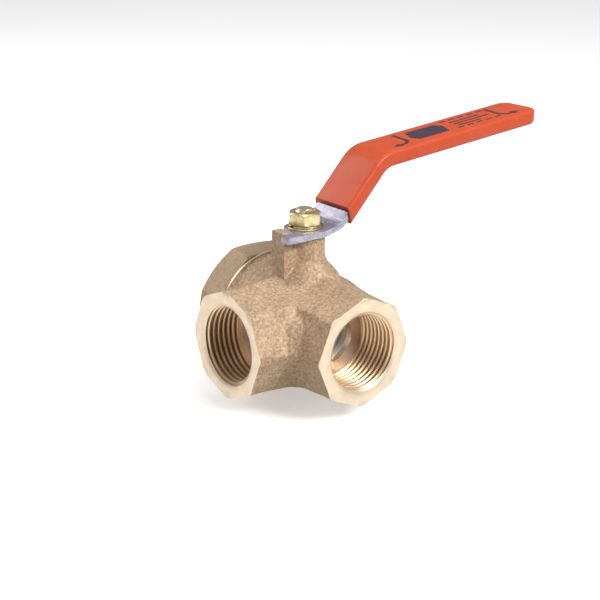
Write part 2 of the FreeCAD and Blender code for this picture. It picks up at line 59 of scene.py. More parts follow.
# casting: (height, radius) stations along the axis that each form is turned about
RIM_END = -20.7
RIM_R = 26.9
BARREL_R = 25.4
BARREL = (
    (-24, RIM_R), (RIM_END, RIM_R), (RIM_END + 0.3, BARREL_R), (0, BARREL_R), (5, 24.3),
    (10, 22.6), (14, 20.8),
)
RUN_TAPER = ((-2, 26.0), (8, 25.2), (14, 24.0), (22, 22.9), (31, 22.45))
BRANCH_TAPER = ((0, 24.4), (12, 24.1), (20, 23.3), (31, 22.45))
BRANCH_TAPER_SIDE = -20.0
NECK = (
    (14, 14.6), (21.6, 14.4), (22.6, 13.7), (24.2, 12.4), (25.4, 11.3), (26.4, 10.3),
    (27.5, 9.4), (29.4, 8.6), (31.5, 8.3), (41, 8.3),
)
NECK_TOP = 38.3
LUG_HALF_WIDTH = 4.15
LUG_FRONT = -13.15
LUG_BACK = -8.6
LUG_FOOT = 18
LUG_TOP = 41.5
WEB_RUN_END = 26.0
WEB_CAP_END = 20.5
WEB_HALF_HEIGHT = 21
WEB_RIDGE = 34.3
WEB_RIDGE_SLOPE = 0.42
WEB_CROWN = 16.4
WEB_CROWN_REACH = 22
WEB_CROWN_SLOPE = (0.55, 0.83)
CAST_VOXEL = 0.5
LATHE_SIDES = 128

# ports
PORT_R = 22.5
ARM_OVERRUN = 40.0
ARM_EDGE_ROUND = 1.6
FACE_CORNER_R = 21.6
FACE_CORNER_DEPTH = 0.9
TOOL_R = 32
TOOL_OVERRUN = 8
THREAD_CREST_R = 15.15
THREAD_ROOT_R = 16.6
THREAD_PITCH = 2.309
THREAD_DEPTH = 19.0
BRANCH_THREAD_DEPTH = 17.5
THREAD_HALF_WIDTH = 1.02
MOUTH_R = 16.95
MOUTH_DEPTH = 1.3
WATERWAY_R = 9.5

# bores of the body and outside of the end cap
CHAMBER = (
    (-34, 33), (-20.9, 33), (-20.9, 26.6), (-22, 26.6), (-22, 20.9), (-21.4, 20.3),
    (-12, 20.3), (-12, 17.5), (9.8, 17.5), (9.8, 14.05), (15.65, 14.05), (15.65, 9.4),
)
NECK_BORE = (
    (10, 6.8), (21, 6.8), (21, 4.1), (26, 4.1), (26, 6.2), (NECK_TOP - 0.4, 6.2),
    (NECK_TOP, 6.6), (NECK_TOP, 8.58), (46, 8.58),
)
CAP_HEAD = (
    (9.9, 17.3), (13.05, 17.3), (13.05, 20.2), (20.5, 20.2), (20.5, 19.3), (22.35, 19.3),
    (22.35, 27.2), (23.3, 28.05), (34.8, 28.05), (38, 24.4),
)
CAP_CORNER_R = 28.0
CAP_POCKET = ((-2, 14.05), (15.65, 14.05))

# lever
PLATE_BOTTOM = 39.0
PLATE_TOP = 41.5
PLATE_HALF_WIDTH = 9.6
PLATE_TIP_R = 4.2
FIRST_BEND = (3.5, 40.25)
SECOND_BEND = (11.2, 42.31)
HIGH_BEND = (32.6, 65.7)
FIRST_BEND_R = 12.0
SECOND_BEND_R = 8.0
HIGH_BEND_R = 12.0
GRIP_SLOPE = 0.095
LEVER_END = 118.5
SLEEVE_START = (12.0, 43.2)
SLEEVE_LIP = ((13.9, 48.3), (15.6, 42.4))
SLEEVE_END = 121.0
SLEEVE_HALF_WIDTH = 10.8
SLEEVE_THICKNESS = 6.2
SLEEVE_TIP_R = 5.5


# ---- working tools ----------------------------------------------------------------------

def clear_selection():
    """Leaves object mode with nothing selected."""
    if bpy.context.object and bpy.context.object.mode != "OBJECT":
        bpy.ops.object.mode_set(mode="OBJECT")
    bpy.ops.object.select_all(action="DESELECT")


def pick(piece):
    """Makes one piece the only selected and active one."""
    clear_selection()
    piece.select_set(True)
    bpy.context.view_layer.objects.active = piece


def keep(name):
    """Names the piece just added and returns it."""
    piece = bpy.context.object
    piece.name = name
    piece.data.name = name
    return piece


def settle(piece, turn=(0, 0, 0), place=(0, 0, 0)):
    """Turns a piece by degrees, moves it by millimetres and applies both to its mesh."""
    pick(piece)
    piece.rotation_euler = [math.radians(a) for a in turn]
    piece.location = Vector(place) * MM
    bpy.ops.object.transform_apply(location=True, rotation=True, scale=True)
    return piece


def to_frame(piece):
    """Moves a finished piece from the ball's centre to its place in the frame."""
    pick(piece)
    piece.location = CENTRE
    bpy.ops.object.transform_apply(location=True, rotation=False, scale=False)
    return piece


def modify(piece, kind, **settings):
    """Adds a modifier with its settings and applies it."""
    pick(piece)
    modifier = piece.modifiers.new(kind.title(), kind)
    for key, value in settings.items():
        setattr(modifier, key, value)
    bpy.ops.object.modifier_apply(modifier=modifier.name)
    return piece


def combine(piece, other, operation, keep_other=False):
    """Joins, cuts or trims a piece with another one, which brings its own finish."""
    modify(
        piece, "BOOLEAN", object=other, operation=operation, solver="EXACT",
        material_mode="TRANSFER",
    )
    if not keep_other:
        bpy.data.objects.remove(other)
    return piece


def joined(pieces, name):
    """Several pieces as one object."""
    clear_selection()
    for piece in pieces:
        piece.select_set(True)
    bpy.context.view_layer.objects.active = pieces[0]
    bpy.ops.object.join()
    return keep(name)


def smooth(piece, angle=35):
    """Shades a piece smooth, except across edges sharper than the angle."""
    pick(piece)
    bpy.ops.object.shade_smooth_by_angle(angle=math.radians(angle))
    return piece


def paint(piece, finish):
    """Gives a piece one finish all over."""
    piece.data.materials.clear()
    piece.data.materials.append(finish)
    return piece


def turned(name, stations, sides=LATHE_SIDES):
    """A closed lathe form up Z through (height, radius) stations, by extruding a disc."""
    height, radius = stations[0]
    clear_selection()
    bpy.ops.mesh.primitive_circle_add(
        vertices=sides, radius=radius * MM, fill_type="NGON", location=(0, 0, 0),
    )
    piece = keep(name)
    piece.location.z = height * MM
    bpy.ops.object.transform_apply(location=True, rotation=False, scale=False)
    bpy.ops.object.mode_set(mode="EDIT")
    bpy.ops.mesh.select_all(action="SELECT")
    for next_height, next_radius in stations[1:]:
        bpy.ops.mesh.extrude_region_move(
            TRANSFORM_OT_translate={"value": (0, 0, (next_height - height) * MM)},
        )
        share = next_radius / radius
        bpy.ops.transform.resize(
            value=(share, share, 1), center_override=(0, 0, next_height * MM),
        )
        height, radius = next_height, next_radius
    bpy.ops.mesh.select_all(action="SELECT")
    bpy.ops.mesh.normals_make_consistent(inside=False)
    bpy.ops.object.mode_set(mode="OBJECT")
    return piece


def prism(name, corners, bottom, top):
    """A straight prism up Z on a plan outline of (x, y) corners."""
    clear_selection()
    bpy.ops.mesh.primitive_circle_add(vertices=len(corners), radius=MM, fill_type="NGON")
    piece = keep(name)
    for vertex, (x, y) in zip(piece.data.vertices, corners):
        vertex.co = (x * MM, y * MM, bottom * MM)
    bpy.ops.object.mode_set(mode="EDIT")
    bpy.ops.mesh.select_all(action="SELECT")
    bpy.ops.mesh.extrude_region_move(
        TRANSFORM_OT_translate={"value": (0, 0, (top - bottom) * MM)},
    )
    bpy.ops.mesh.select_all(action="SELECT")
    bpy.ops.mesh.normals_make_consistent(inside=False)
    bpy.ops.object.mode_set(mode="OBJECT")
    return piece


def block(name, low, high):
    """A block between two corners."""
    clear_selection()
    middle = (Vector(low) + Vector(high)) / 2 * MM
    bpy.ops.mesh.primitive_cube_add(size=1, location=middle)
    piece = keep(name)
    piece.scale = (Vector(high) - Vector(low)) * MM
    bpy.ops.object.transform_apply(location=True, rotation=True, scale=True)
    return piece


def sliced(piece, point, normal):
    """Cuts away what lies beyond a plane and closes the cut."""
    pick(piece)
    bpy.ops.object.mode_set(mode="EDIT")
    bpy.ops.mesh.select_all(action="SELECT")
    bpy.ops.mesh.bisect(
        plane_co=Vector(point) * MM, plane_no=Vector(normal).normalized(), use_fill=True,
        clear_outer=True,
    )
    bpy.ops.object.mode_set(mode="OBJECT")
    return piece


# ---- finishes ---------------------------------------------------------------------------

class Value:
    """A number that varies over a surface, which sums and products can be written with."""

    def __init__(self, finish, socket):
        self.finish = finish
        self.socket = socket

    def _maths(self, operation, first, second):
        return self.finish.node(
            "ShaderNodeMath", {"operation": operation}, {0: first, 1: second},
        )

    def __add__(self, other):
        return self._maths("ADD", self, other)

    def __radd__(self, other):
        return self._maths("ADD", other, self)

    def __rsub__(self, other):
        return self._maths("SUBTRACT", other, self)

    def __mul__(self, other):
        return self._maths("MULTIPLY", self, other)

    def __rmul__(self, other):
        return self._maths("MULTIPLY", other, self)

    def __pow__(self, other):
        return self._maths("POWER", self, other)


class Finish:
    """One procedural finish and the nodes that it is made of."""

    def __init__(self, name):
        self.material = bpy.data.materials.new(name)
        self.material.use_nodes = True
        self.tree = self.material.node_tree
        self.shader = self.tree.nodes["Principled BSDF"]
        self.place = self.node("ShaderNodeTexCoord", output="Object")

    def node(self, kind, settings=None, inputs=None, output=0):
        """Adds a node, makes its settings, then feeds its sockets with values or links."""
        made = self.tree.nodes.new(kind)
        for key, value in (settings or {}).items():
            setattr(made, key, value)
        for key, value in (inputs or {}).items():
            if isinstance(value, Value):
                self.tree.links.new(value.socket, made.inputs[key])
            else:
                made.inputs[key].default_value = value
        return Value(self, made.outputs[output])

    def noise(self, size, detail=3.0, roughness=0.55):
        """Noise whose patches are about the given size in millimetres."""
        return self.node(
            "ShaderNodeTexNoise", None,
            {"Vector": self.place, "Scale": 1 / (size * MM), "Detail": detail,
             "Roughness": roughness},
        )

    def between(self, value, low, high):
        """A value spread from 0 at low to 1 at high."""
        return self.node(
            "ShaderNodeMapRange", {"clamp": True},
            {"Value": value, "From Min": low, "From Max": high},
        )

    def blend(self, share, first, second):
        """Two colours mixed by a share."""
        return self.node(
            "ShaderNodeMix", {"data_type": "RGBA"},
            {0: share, 6: as_colour(first), 7: as_colour(second)}, 2,
        )

    def moved(self, move):
        """Object coordinates moved by millimetres."""
        return self.node(
            "ShaderNodeMapping", None, {"Vector": self.place, "Location": Vector(move) * MM},
        )

    def bump(self, height, depth):
        """A relief of the given depth in millimetres."""
        return self.node(
            "ShaderNodeBump", None,
            {"Height": height, "Distance": depth * MM, "Strength": 1.0},
        )

    def set(self, **sockets):
        """Feeds the shader's sockets, named with underscores for spaces."""
        for key, value in sockets.items():
            socket = self.shader.inputs[key.replace("_", " ")]
            if isinstance(value, Value):
                self.tree.links.new(value.socket, socket)
            elif isinstance(value, tuple):
                socket.default_value = (*value, 1)
            else:
                socket.default_value = value
        return self.material


def as_colour(value):
    """A colour with its fourth number, or a link left as it is."""
    return value if isinstance(value, Value) else (*value, 1)


def cast_bronze(name, light, dark, grain_depth):
    """Sand cast bronze: a fine mottled grain of small pits over soft patches."""
    f = Finish(name)
    patches = f.noise(9.0, 3.0)
    grain = f.noise(1.1, 4.0, 0.68)
    sand = f.noise(0.42, 2.0, 0.5)
    pits = f.between(f.noise(1.6, 2.0, 0.6), 0.36, 0.5)
    tone = f.between(grain * 0.62 + sand * 0.2 + patches * 0.18, 0.38, 0.62)
    colour = f.blend(tone, dark, light)
    colour = f.blend(0.22 - 0.22 * pits, colour, tuple(0.45 * c for c in dark))
    relief = f.bump(grain + sand * 0.6 + pits * 0.5, grain_depth)
    return f.set(
        Base_Color=colour, Metallic=0.25, Roughness=0.5 + 0.18 * sand, Normal=relief,
        Specular_IOR_Level=0.45,
    )


def turned_bronze(name, colour, axis, move):
    """Bronze faced on a lathe: fine rings about its own axis and a slight drift of tone."""
    f = Finish(name)
    rings = f.node(
        "ShaderNodeTexWave", {"wave_type": "RINGS", "rings_direction": axis},
        {"Vector": f.moved(move), "Scale": 420.0, "Distortion": 0.6, "Detail": 2.0,
         "Detail Scale": 2.0},
        1,
    )
    drift = f.noise(5.0, 3.0)
    grain = f.noise(0.5, 3.0)
    shade = f.between(drift * 0.7 + grain * 0.3, 0.35, 0.68)
    return f.set(
        Base_Color=f.blend(shade, tuple(0.8 * c for c in colour), colour),
        Metallic=0.55, Roughness=0.32 + 0.1 * grain,
        Normal=f.bump(rings + grain * 0.5, 0.012),
    )


def cut_thread(name, axis, move):
    """The bright golden bronze of a freshly cut thread, with painted shade making it browner in
    its roots.
    """
    f = Finish(name)
    apart = f.node("ShaderNodeSeparateXYZ", None, {0: f.moved(move)}, axis)
    other = f.node("ShaderNodeSeparateXYZ", None, {0: f.moved(move)}, 2)
    radius = (apart * apart + other * other) ** 0.5
    # painted shade: the colour runs from light at the crests to dark brown down in the roots,
    # where shade falls
    lit_crest_share = f.between(radius, THREAD_ROOT_R * MM, THREAD_CREST_R * MM)
    streak = f.noise(1.2, 3.0)
    colour = f.blend(lit_crest_share, (0.36, 0.20, 0.10), (0.84, 0.62, 0.40))
    colour = f.blend(0.25 * streak, colour, (0.42, 0.24, 0.11))
    return f.set(
        Base_Color=colour, Metallic=0.75, Roughness=0.24 + 0.16 * streak,
        Normal=f.bump(f.noise(0.35, 2.0), 0.015),
    )


def zinc_plate():
    """Zinc plated steel: lavender grey with faint spangles and pressed marks."""
    f = Finish("zinc_plated_steel")
    spangle = f.node(
        "ShaderNodeTexVoronoi", {"feature": "F1"},
        {"Vector": f.place, "Scale": 420.0, "Randomness": 1.0}, 1,
    )
    tone = f.node("ShaderNodeSeparateXYZ", None, {0: spangle}, 0)
    cloud = f.noise(4.0, 4.0, 0.6)
    shade = f.between(tone * 0.35 + cloud * 0.65, 0.25, 0.75)
    return f.set(
        Base_Color=f.blend(shade, (0.27, 0.262, 0.325), (0.43, 0.41, 0.48)),
        Metallic=0.6, Roughness=0.28 + 0.14 * cloud,
        Normal=f.bump(cloud + 0.5 * f.noise(0.8, 3.0), 0.03),
    )


def yellow_plate(name, colour):
    """Yellow passivated steel with tool marks."""
    f = Finish(name)
    cloud = f.noise(2.2, 4.0, 0.6)
    marks = f.noise(0.5, 3.0)
    shade = f.between(cloud, 0.3, 0.7)
    return f.set(
        Base_Color=f.blend(shade, tuple(0.62 * c for c in colour), colour),
        Metallic=0.85, Roughness=0.2 + 0.2 * marks,
        Normal=f.bump(marks + cloud, 0.025),
    )


def orange_vinyl():
    """Dipped vinyl: satin orange with the slight ripple of a dipped skin."""
    f = Finish("orange_vinyl")
    ripple = f.noise(7.0, 2.0)
    skin = f.noise(0.8, 3.0, 0.6)
    shade = f.between(ripple * 0.7 + skin * 0.3, 0.3, 0.7)
    return f.set(
        Base_Color=f.blend(shade, (0.54, 0.062, 0.012), (0.62, 0.080, 0.018)),
        Roughness=0.42 + 0.12 * skin, Coat_Weight=0.04 + 0.05 * ripple,
        Normal=f.bump(ripple * 2.0 + skin * 0.35, 0.05),
        Specular_IOR_Level=0.4,
    )


def dark_print():
    """Printing ink on vinyl, a little worn."""
    f = Finish("dark_print")
    worn = f.between(f.noise(0.9, 4.0, 0.7), 0.55, 0.68)
    return f.set(
        Base_Color=f.blend(0.5 * worn, (0.028, 0.022, 0.045), (0.45, 0.09, 0.03)),
        Roughness=0.42 + 0.1 * worn,
    )


def chromed():
    """The polished chrome of the ball, with faint smears."""
    f = Finish("chromed_ball")
    smear = f.noise(6.0, 4.0, 0.6)
    return f.set(
        Base_Color=f.blend(smear, (0.50, 0.51, 0.54), (0.70, 0.71, 0.74)),
        Metallic=1.0, Roughness=0.07 + 0.1 * smear,
    )


def white_seal():
    """Off white PTFE of the seats and packing."""
    f = Finish("white_seal")
    cloud = f.noise(3.0, 3.0)
    return f.set(
        Base_Color=f.blend(cloud, (0.72, 0.70, 0.66), (0.84, 0.83, 0.80)),
        Roughness=0.42 + 0.1 * cloud, Normal=f.bump(f.noise(0.6, 2.0), 0.01),
    )


def studio_floor():
    """The plain pale floor."""
    f = Finish("studio_floor")
    tone = f.blend(f.noise(60.0, 2.0), (0.93, 0.93, 0.93), (0.95, 0.95, 0.95))
    return f.set(Base_Color=tone, Roughness=0.6, Emission_Color=tone, Emission_Strength=0.42)


CAST = cast_bronze("cast_bronze", (0.68, 0.49, 0.325), (0.32, 0.205, 0.118), 0.16)
CAP_CAST = cast_bronze("cap_bronze", (0.53, 0.375, 0.235), (0.39, 0.27, 0.165), 0.05)
# painted shade: this faced bronze colour, used on the run, cap and neck faces, is painted darker
# than the branch face's copy of the same bronze, to hold back the key light falling hard on the
# run face
CREAM_PAINTED_DARKER = (0.82, 0.665, 0.485)
FACE_RUN = turned_bronze("faced_bronze_run", CREAM_PAINTED_DARKER, "X", (0, -PORT_TO_CENTRE, 0))
# painted light: the branch face gets a lighter copy of the same faced bronze, since the key light
# falls less on it
FACE_BRANCH = turned_bronze("faced_bronze_branch", (0.92, 0.74, 0.54), "Y", (0, 0, 0))
FACE_NECK = turned_bronze("faced_bronze_neck", CREAM_PAINTED_DARKER, "Z", (0, -PORT_TO_CENTRE, 0))
THREAD_RUN = cut_thread("cut_thread_run", 1, (0, -PORT_TO_CENTRE, 0))
THREAD_BRANCH = cut_thread("cut_thread_branch", 0, (0, 0, 0))
ZINC = zinc_plate()
YELLOW = yellow_plate("yellow_plated_steel", (0.74, 0.62, 0.34))
STEM_BRASS = yellow_plate("brass_stem", (0.82, 0.68, 0.42))
VINYL = orange_vinyl()
PRINT = dark_print()
CHROME = chromed()
SEAL = white_seal()


# ---- the casting ------------------------------------------------------------------------

RUN_TURN = (0, 90, 0)
CAP_TURN = (0, -90, 0)
BRANCH_TURN = (90, 0, 0)
HALF_FACET_TURN = (0, 0, 22.5)


def arm(name, turn):
    """The eight sided arm of a port, a corner up, longer than it is machined to."""
    clear_selection()
    bpy.ops.mesh.primitive_cylinder_add(vertices=8, radius=PORT_R * MM, depth=ARM_OVERRUN * MM)
    piece = settle(keep(name), place=(0, 0, ARM_OVERRUN / 2))
    modify(
        piece, "BEVEL", width=ARM_EDGE_ROUND * MM, segments=4, limit_method="ANGLE",
        angle_limit=math.radians(30),
    )
    return settle(piece, turn)


def web(side):
    """The metal in the corner between the branch and one side of the run."""
    end = side * (WEB_RUN_END if side > 0 else WEB_CAP_END)
    low = (min(0, end), -WEB_RUN_END, -WEB_HALF_HEIGHT)
    piece = block("web", low, (max(0, end), 0, WEB_HALF_HEIGHT))
    diagonal = Vector((side, -1, 0)).normalized()
    outwards, upwards = WEB_CROWN_SLOPE
    for up in (-1, 1):
        ridge = diagonal + Vector((0, 0, up * WEB_RIDGE_SLOPE))
        sliced(piece, diagonal * WEB_RIDGE, ridge)
        crown = diagonal * outwards + Vector((0, 0, up * upwards))
        sliced(piece, diagonal * WEB_CROWN_REACH + Vector((0, 0, up * WEB_CROWN)), crown)
    return piece


def taper(name, stations, turn):
    """An eight sided taper, a corner up, along a port's axis."""
    return settle(turned(name, stations, 8), turn)


def casting_blank():
    """The rough casting before any cutting: soft edges and filled corners."""
    barrel = settle(turned("barrel", BARREL), RUN_TURN)
    run_taper = taper("run_taper", RUN_TAPER, RUN_TURN)
    shoulder = taper("shoulder", BRANCH_TAPER, BRANCH_TURN)
    sliced(shoulder, (BRANCH_TAPER_SIDE, 0, 0), (-1, 0, 0))
    neck = turned("neck", NECK)
    lug = block(
        "lug", (-LUG_HALF_WIDTH, LUG_FRONT, LUG_FOOT), (LUG_HALF_WIDTH, LUG_BACK, LUG_TOP + 0.1),
    )
    root = block(
        "root", (-LUG_HALF_WIDTH, LUG_FRONT + 0.05, LUG_FOOT), (LUG_HALF_WIDTH, 0, NECK_TOP - 4),
    )
    blank = joined([
        arm("run_arm", RUN_TURN), arm("branch_arm", BRANCH_TURN), barrel,
        run_taper, shoulder, web(1), web(-1), neck, lug, root,
    ], "cast_body")
    modify(blank, "REMESH", mode="VOXEL", voxel_size=CAST_VOXEL * MM)
    modify(blank, "SMOOTH", factor=0.5, iterations=3)
    return paint(blank, CAST)


def port_cutter(name, depth, face, thread):
    """All that is cut away at a port: bore, mouth, face and outer corner, up its own Z."""
    start = PORT_TO_CENTRE - depth
    tool = turned(name, (
        (0, WATERWAY_R), (start, WATERWAY_R), (start, THREAD_CREST_R),
        (PORT_TO_CENTRE - MOUTH_DEPTH, THREAD_CREST_R), (PORT_TO_CENTRE, MOUTH_R),
        (PORT_TO_CENTRE, FACE_CORNER_R), (PORT_TO_CENTRE - FACE_CORNER_DEPTH, PORT_R + 0.3),
        (PORT_TO_CENTRE - FACE_CORNER_DEPTH, TOOL_R), (PORT_TO_CENTRE + TOOL_OVERRUN, TOOL_R),
    ))
    paint(tool, face)
    tool.data.materials.append(thread)
    for polygon in tool.data.polygons:
        inside = math.hypot(polygon.center.x, polygon.center.y) < (THREAD_ROOT_R + 0.3) * MM
        polygon.material_index = int(inside and abs(polygon.normal.z) < 0.8)
    return combine(tool, thread_groove(start, thread), "UNION")


def thread_groove(start, thread):
    """The winding V that cuts a right hand pipe thread, as one closed coil."""
    clear_selection()
    bpy.ops.mesh.primitive_circle_add(vertices=3, radius=MM, fill_type="NGON")
    groove = keep("groove")
    base = THREAD_CREST_R - 0.35
    half = THREAD_HALF_WIDTH
    profile = ((base, start), (THREAD_ROOT_R, start + half), (base, start + 2 * half))
    for vertex, (x, z) in zip(groove.data.vertices, profile):
        vertex.co = (x * MM, 0, z * MM)
    turns = math.ceil((PORT_TO_CENTRE - start) / THREAD_PITCH)
    modify(
        groove, "SCREW", angle=math.tau, screw_offset=THREAD_PITCH * MM, iterations=turns,
        steps=96, render_steps=96, use_merge_vertices=True, merge_threshold=1e-6,
    )
    bpy.ops.object.mode_set(mode="EDIT")
    bpy.ops.mesh.select_all(action="SELECT")
    bpy.ops.mesh.remove_doubles(threshold=1e-6)
    bpy.ops.mesh.fill_holes(sides=4)
    bpy.ops.mesh.select_all(action="SELECT")
    bpy.ops.mesh.normals_make_consistent(inside=False)
    bpy.ops.object.mode_set(mode="OBJECT")
    return paint(groove, thread)


def chamber_cutter():
    """The ball's chamber, its seat pocket, the turned rim and the hole for the cap."""
    return paint(settle(turned("chamber", CHAMBER), RUN_TURN), FACE_RUN)


def neck_cutter():
    """The stem's hole, the packing bore and the faced top of the neck."""
    return paint(turned("neck_bore", NECK_BORE), FACE_NECK)


def cast_body():
    """The body casting with its cast skin, machined faces and threads."""
    blank = casting_blank()
    run = port_cutter("run_cut", THREAD_DEPTH, FACE_RUN, THREAD_RUN)
    settle(run, RUN_TURN)
    branch = port_cutter("branch_cut", BRANCH_THREAD_DEPTH, FACE_BRANCH, THREAD_BRANCH)
    settle(branch, BRANCH_TURN)
    for tool in (chamber_cutter(), neck_cutter(), run, branch):
        combine(blank, tool, "DIFFERENCE")
    to_frame(smooth(blank, 40))
    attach(blank, "valve_body")
    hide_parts("body_casting")
    return blank


def end_cap():
    """The screwed end cap: an eight sided head with turned chamfers, and its own port."""
    head = turned("end_cap_bronze", CAP_HEAD)
    clear_selection()
    bpy.ops.mesh.primitive_cylinder_add(
        vertices=8, radius=CAP_CORNER_R * MM, depth=2 * ARM_OVERRUN * MM,
    )
    octagon = settle(keep("octagon"), HALF_FACET_TURN)
    combine(head, octagon, "INTERSECT")
    modify(
        head, "BEVEL", width=0.45 * MM, segments=3, limit_method="ANGLE",
        angle_limit=math.radians(24),
    )
    paint(head, CAP_CAST)
    tool = port_cutter("cap_cut", THREAD_DEPTH, FACE_RUN, THREAD_RUN)
    pocket = paint(turned("cap_pocket", CAP_POCKET), FACE_RUN)
    combine(head, tool, "DIFFERENCE")
    combine(head, pocket, "DIFFERENCE")
    settle(head, CAP_TURN)
    to_frame(smooth(head, 32))
    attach(head, "valve_body")
    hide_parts("end_cap")
    return head


# ---- the lever --------------------------------------------------------------------------

def slope_between(low, high):
    """Slope of the straight between two corners of the lever's side view."""
    return math.atan2(high[1] - low[1], high[0] - low[0])


def bent_strip(name, half_width, thickness, start, bends, end, steps=8):
    """A strip of even section pushed along its side view: straights and spun bends."""
    clear_selection()
    here = Vector((0, start[0], start[1]))
    heading = start[2]
    bpy.ops.mesh.primitive_plane_add(size=1)
    strip = keep(name)
    strip.scale = (2 * half_width * MM, thickness * MM, 1)
    strip.rotation_euler = (math.radians(90) + heading, 0, 0)
    strip.location = here * MM
    bpy.ops.object.transform_apply(location=True, rotation=True, scale=True)
    bpy.ops.object.mode_set(mode="EDIT")
    bpy.ops.mesh.select_all(action="SELECT")
    for corner, next_heading, radius in bends:
        turn = next_heading - heading
        run_in = radius * math.tan(abs(turn) / 2)
        along = Vector((0, math.cos(heading), math.sin(heading)))
        stop = Vector((0, *corner)) - along * run_in
        bpy.ops.mesh.extrude_region_move(TRANSFORM_OT_translate={"value": (stop - here) * MM})
        side = Vector((0, -along.z, along.y)) * math.copysign(radius, turn)
        bpy.ops.mesh.spin(
            steps=steps, angle=-turn, center=(stop + side) * MM, axis=(1, 0, 0), dupli=False,
        )
        here = Vector((0, *corner)) + run_in * Vector(
            (0, math.cos(next_heading), math.sin(next_heading)))
        heading = next_heading
    last = Vector((0, *end))
    bpy.ops.mesh.extrude_region_move(TRANSFORM_OT_translate={"value": (last - here) * MM})
    bpy.ops.mesh.select_all(action="SELECT")
    bpy.ops.mesh.remove_doubles(threshold=1e-6)
    bpy.ops.mesh.normals_make_consistent(inside=False)
    bpy.ops.object.mode_set(mode="OBJECT")
    return strip


def grip_height(y):
    """Height of the grip's middle plane."""
    return HIGH_BEND[1] + GRIP_SLOPE * (y - HIGH_BEND[0])


def arc(centre, radius, first, last, count):
    """Points of an arc in plan, angles in degrees."""
    step = (last - first) / count
    return [
        (centre[0] + radius * math.cos(math.radians(first + step * k)),
         centre[1] + radius * math.sin(math.radians(first + step * k)))
        for k in range(count + 1)
    ]


def plate_plan():
    """Plan of the lever: wing beside the lug, hub, ear, straight sides and rounded tip."""
    tip = LEVER_END - 4.5
    return (
        arc((PLATE_HALF_WIDTH - PLATE_TIP_R, tip), PLATE_TIP_R, 0, 90, 6)
        + arc((PLATE_TIP_R - PLATE_HALF_WIDTH, tip), PLATE_TIP_R, 90, 180, 6)
        + [(-PLATE_HALF_WIDTH, 12.5), (-12.6, 8.5), (-12.6, 5.1), (-11.8, 4.3)]
        + arc((0, 0), 8.2, 148, 236, 8)
        + [(4.3, -7.0), (4.3, -14.4)]
        + arc((6.0, -13.9), 1.7, 190, 270, 5)
        + arc((7.2, -13.2), 2.4, 270, 360, 6)
    )


def lever_plate():
    """The pressed steel lever with rolled edges and the hole for the stem's flats."""
    ease = slope_between(FIRST_BEND, SECOND_BEND)
    rise = slope_between(SECOND_BEND, HIGH_BEND)
    slope = math.atan(GRIP_SLOPE)
    thickness = PLATE_TOP - PLATE_BOTTOM
    middle = (PLATE_TOP + PLATE_BOTTOM) / 2
    end = LEVER_END + 4
    strip = bent_strip(
        "lever_plate", 20, thickness, (-20, middle, 0.0),
        (
            (FIRST_BEND, ease, FIRST_BEND_R), (SECOND_BEND, rise, SECOND_BEND_R),
            (HIGH_BEND, slope, HIGH_BEND_R),
        ),
        (end, grip_height(end)),
    )
    combine(strip, prism("plan", plate_plan(), 30, 95), "INTERSECT")
    hole = turned("hole", ((30, 4.05), (50, 4.05)), 48)
    flats = block("flats", (-3.05, -6, 25), (3.05, 6, 55))
    combine(hole, flats, "INTERSECT")
    combine(strip, hole, "DIFFERENCE")
    combine(strip, turned("washer_seat", ((PLATE_TOP, 7.4), (50, 7.4)), 96), "DIFFERENCE")
    modify(
        strip, "BEVEL", width=0.62 * MM, segments=4, limit_method="ANGLE",
        angle_limit=math.radians(40),
    )
    return paint(smooth(strip, 50), ZINC)


def vinyl_sleeve(plate):
    """The dipped vinyl sleeve: rounded edges, rounded tip, hollow where the plate runs."""
    rise = slope_between(SECOND_BEND, HIGH_BEND)
    slope = math.atan(GRIP_SLOPE)
    end = SLEEVE_END + 4
    sleeve = bent_strip(
        "vinyl_sleeve_skin", SLEEVE_HALF_WIDTH, SLEEVE_THICKNESS, (*SLEEVE_START, rise),
        ((HIGH_BEND, slope, HIGH_BEND_R),), (end, grip_height(end)), 14,
    )
    tip = SLEEVE_END - 0.5
    corner = SLEEVE_HALF_WIDTH - SLEEVE_TIP_R
    plan = (
        arc((corner, tip - SLEEVE_TIP_R), SLEEVE_TIP_R, 0, 90, 10)
        + arc((-corner, tip - SLEEVE_TIP_R), SLEEVE_TIP_R, 90, 180, 10)
        + [(-SLEEVE_HALF_WIDTH - 0.001, -20), (SLEEVE_HALF_WIDTH + 0.001, -20)]
    )
    combine(sleeve, prism("sleeve_plan", plan, 20, 95), "INTERSECT")
    modify(
        sleeve, "BEVEL", width=1.35 * MM, segments=5, limit_method="ANGLE",
        angle_limit=math.radians(40),
    )
    (top_y, top_z), (low_y, low_z) = SLEEVE_LIP
    sliced(sleeve, (0, top_y, top_z), (0, low_z - top_z, top_y - low_y))
    combine(sleeve, plate, "DIFFERENCE", keep_other=True)
    return paint(smooth(sleeve, 50), VINYL)


def hex_nut():
    """The lever nut: a hexagon with turned chamfers above and below."""
    nut = turned("hex_nut", (
        (43.32, 6.35), (43.7, 7.0), (47.25, 7.0), (48.1, 5.85),
    ), 96)
    clear_selection()
    bpy.ops.mesh.primitive_cylinder_add(vertices=6, radius=12.0 / math.sqrt(3) * MM, depth=MM * 20)
    hexagon = settle(settle(keep("hexagon"), place=(0, 0, 46)), (0, 0, 52))
    combine(nut, hexagon, "INTERSECT")
    modify(
        nut, "BEVEL", width=0.16 * MM, segments=2, limit_method="ANGLE",
        angle_limit=math.radians(28),
    )
    combine(nut, turned("nut_bore", ((40, 4.02), (47.5, 4.02), (49, 5.2)), 64), "DIFFERENCE")
    return paint(smooth(nut, 30), YELLOW)


